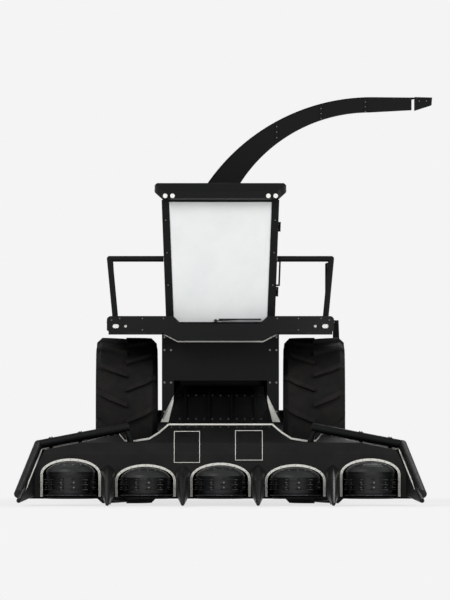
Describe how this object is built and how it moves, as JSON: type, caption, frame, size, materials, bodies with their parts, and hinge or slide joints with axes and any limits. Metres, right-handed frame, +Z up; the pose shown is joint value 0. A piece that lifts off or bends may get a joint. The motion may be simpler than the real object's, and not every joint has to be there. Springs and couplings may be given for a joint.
{
  "type": "forage harvester",
  "caption": "Self-propelled forage harvester with a wide rotary crop header, a glazed cab, large lugged tyres and a tall curved discharge spout.",
  "frame": {"origin": "on the ground below the middle of the machine's length and width, tyres standing on z = 0", "axes": "+Z up, the machine faces -Y, its left side is +X, +Y runs to the rear along its length"},
  "size_m": [5.1462, 8.2, 5.04],
  "materials": {
    "chassis_paint": "satin",
    "cast_parts": "painted, satin",
    "engine_iron": "rough cast",
    "cooler_alloy": "brushed fins",
    "body_panels": "gloss",
    "black_paint": "semi-gloss",
    "cab_glazing": "clear, pale",
    "seat_cloth": "woven",
    "cab_plastic": "matte",
    "lamp_lenses": "clear lens",
    "exhaust_steel": "heat-toned",
    "tank_plastic": "matte",
    "tyre_rubber": "moulded",
    "rim_paint": "satin",
    "bright_steel": "polished",
    "header_panels": "semi-gloss",
    "pale_strips": "matte",
    "drum_steel": "worn satin"
  },
  "bodies": {
    "chassis": {"main_frame": "chassis_paint", "front_axle": "cast_parts", "rear_axle": "cast_parts", "engine": "engine_iron", "cooler": "cooler_alloy", "hood": "body_panels", "side_panels": "body_panels", "discharge_tower": "black_paint", "cab_frame": "black_paint", "cab_roof": "body_panels", "cab_glass": "cab_glazing", "seat": "seat_cloth", "cab_fittings": "cab_plastic", "platforms": "chassis_paint", "lamp_bar": "body_panels", "side_rails": "black_paint", "lamps": "lamp_lenses", "front_shield": "black_paint", "ladder": "chassis_paint", "exhaust": "exhaust_steel", "fuel_tanks": "tank_plastic", "tow_hitch": "cast_parts"},
    "wheel_front_left": {"tyre_front_left": "tyre_rubber", "rim_front_left": "rim_paint"},
    "wheel_front_right": {"tyre_front_right": "tyre_rubber", "rim_front_right": "rim_paint"},
    "knuckle_left": {"knuckle_left": "cast_parts"},
    "knuckle_right": {"knuckle_right": "cast_parts"},
    "tie_rod": {"tie_rod": "bright_steel"},
    "wheel_rear_left": {"tyre_rear_left": "tyre_rubber", "rim_rear_left": "rim_paint"},
    "wheel_rear_right": {"tyre_rear_right": "tyre_rubber", "rim_rear_right": "rim_paint"},
    "feeder": {"feeder_housing": "black_paint", "header_frame": "black_paint", "header_hood": "header_panels", "wear_strips": "pale_strips", "dividers": "header_panels", "guard_bars": "black_paint"},
    "drum_1": {"drum_1": "drum_steel"},
    "drum_2": {"drum_2": "drum_steel"},
    "drum_3": {"drum_3": "drum_steel"},
    "drum_4": {"drum_4": "drum_steel"},
    "drum_5": {"drum_5": "drum_steel"},
    "lift_barrels": {"lift_barrels": "black_paint"},
    "lift_rods": {"lift_rods": "bright_steel"},
    "turret": {"spout_turret": "black_paint"},
    "spout": {"spout": "black_paint"},
    "flap": {"spout_flap": "black_paint"},
    "spout_barrel": {"spout_barrel": "black_paint"},
    "spout_rod": {"spout_rod": "bright_steel"},
    "cab_door": {"cab_door": "black_paint", "cab_door_glass": "cab_glazing"},
    "hood_door_left": {"hood_door_left": "body_panels"},
    "hood_door_right": {"hood_door_right": "body_panels"},
    "rear_grille": {"rear_grille": "black_paint"}
  },
  "joints": [
    {"name": "wheel_front_left_spin", "type": "hinge", "parent": "chassis", "child": "wheel_front_left", "pos_m": [1.09912, -0.35, 1.025], "axis": [1, 0, 0], "continuous": true},
    {"name": "wheel_front_right_spin", "type": "hinge", "parent": "chassis", "child": "wheel_front_right", "pos_m": [-1.21488, -0.35, 1.025], "axis": [1, 0, 0], "continuous": true},
    {"name": "steer_left", "type": "hinge", "parent": "chassis", "child": "knuckle_left", "pos_m": [0.72212, 2.65, 0.745], "axis": [0, 0, 1], "range_deg": [-35, 35]},
    {"name": "steer_right", "type": "hinge", "parent": "chassis", "child": "knuckle_right", "pos_m": [-0.83788, 2.65, 0.745], "axis": [0, 0, 1], "range_deg": [-35, 35]},
    {"name": "tie_rod_pivot", "type": "hinge", "parent": "knuckle_left", "child": "tie_rod", "pos_m": [0.72212, 2.9, 0.58], "axis": [0, 0, 1], "range_deg": [-35, 35]},
    {"name": "wheel_rear_left_spin", "type": "hinge", "parent": "knuckle_left", "child": "wheel_rear_left", "pos_m": [1.09212, 2.65, 0.745], "axis": [1, 0, 0], "continuous": true},
    {"name": "wheel_rear_right_spin", "type": "hinge", "parent": "knuckle_right", "child": "wheel_rear_right", "pos_m": [-1.20788, 2.65, 0.745], "axis": [1, 0, 0], "continuous": true},
    {"name": "header_lift", "type": "hinge", "parent": "chassis", "child": "feeder", "pos_m": [-0.05788, -0.55, 1.3], "axis": [-1, 0, 0], "range_deg": [0, 18]},
    {"name": "drum_1_spin", "type": "hinge", "parent": "feeder", "child": "drum_1", "pos_m": [-1.89188, -2.6, 0.3], "axis": [0, 0, 1], "continuous": true},
    {"name": "drum_2_spin", "type": "hinge", "parent": "feeder", "child": "drum_2", "pos_m": [-0.97488, -2.6, 0.3], "axis": [0, 0, 1], "continuous": true},
    {"name": "drum_3_spin", "type": "hinge", "parent": "feeder", "child": "drum_3", "pos_m": [-0.05788, -2.6, 0.3], "axis": [0, 0, 1], "continuous": true},
    {"name": "drum_4_spin", "type": "hinge", "parent": "feeder", "child": "drum_4", "pos_m": [0.85912, -2.6, 0.3], "axis": [0, 0, 1], "continuous": true},
    {"name": "drum_5_spin", "type": "hinge", "parent": "feeder", "child": "drum_5", "pos_m": [1.77612, -2.6, 0.3], "axis": [0, 0, 1], "continuous": true},
    {"name": "lift_barrels_swing", "type": "hinge", "parent": "chassis", "child": "lift_barrels", "pos_m": [-0.05788, -0.585, 0.8], "axis": [-1, 0, 0], "range_deg": [0, 22]},
    {"name": "lift_rods_slide", "type": "slide", "parent": "lift_barrels", "child": "lift_rods", "axis": [0, -0.8934, -0.4492], "range_m": [0, 0.15]},
    {"name": "spout_swivel", "type": "hinge", "parent": "chassis", "child": "turret", "pos_m": [-0.05788, 0.65, 3.3], "axis": [0, 0, 1], "range_deg": [0, 180]},
    {"name": "spout_lift", "type": "hinge", "parent": "turret", "child": "spout", "pos_m": [-0.34288, 0.65, 3.72], "axis": [0, -1, 0], "range_deg": [0, 20]},
    {"name": "spout_barrel_swing", "type": "hinge", "parent": "turret", "child": "spout_barrel", "pos_m": [0.06212, 0.65, 3.43], "axis": [0, -1, 0], "range_deg": [0, 14.5]},
    {"name": "spout_rod_slide", "type": "slide", "parent": "spout_barrel", "child": "spout_rod", "axis": [0.1898, 0, 0.9818], "range_m": [0, 0.15]},
    {"name": "spout_flap_tilt", "type": "hinge", "parent": "spout", "child": "flap", "pos_m": [2.33312, 0.65, 5.023], "axis": [0, 1, 0], "range_deg": [0, 60]},
    {"name": "cab_door_swing", "type": "hinge", "parent": "chassis", "child": "cab_door", "pos_m": [0.63992, -1.14, 2.56], "axis": [-0.0363, 0, -0.9993], "range_deg": [0, 75]},
    {"name": "hood_door_left_lift", "type": "hinge", "parent": "chassis", "child": "hood_door_left", "pos_m": [0.60812, 2.62, 2.44], "axis": [0, -1, 0], "range_deg": [0, 80]},
    {"name": "hood_door_right_lift", "type": "hinge", "parent": "chassis", "child": "hood_door_right", "pos_m": [-0.72388, 2.62, 2.44], "axis": [0, 1, 0], "range_deg": [0, 80]},
    {"name": "rear_grille_swing", "type": "hinge", "parent": "chassis", "child": "rear_grille", "pos_m": [-0.55788, 4.016, 1.8], "axis": [0, 0, 1], "range_deg": [0, 100]}
  ],
  "couplings": [
    {"joint": "steer_right", "follows": "steer_left", "ratio": 1},
    {"joint": "tie_rod_pivot", "follows": "steer_left", "ratio": -1},
    {"joint": "lift_barrels_swing", "follows": "header_lift", "ratio": 1.1725},
    {"joint": "lift_rods_slide", "follows": "header_lift", "m_per_rad": 0.465},
    {"joint": "spout_barrel_swing", "follows": "spout_lift", "ratio": 0.69},
    {"joint": "spout_rod_slide", "follows": "spout_lift", "m_per_rad": 0.4229}
  ]
}
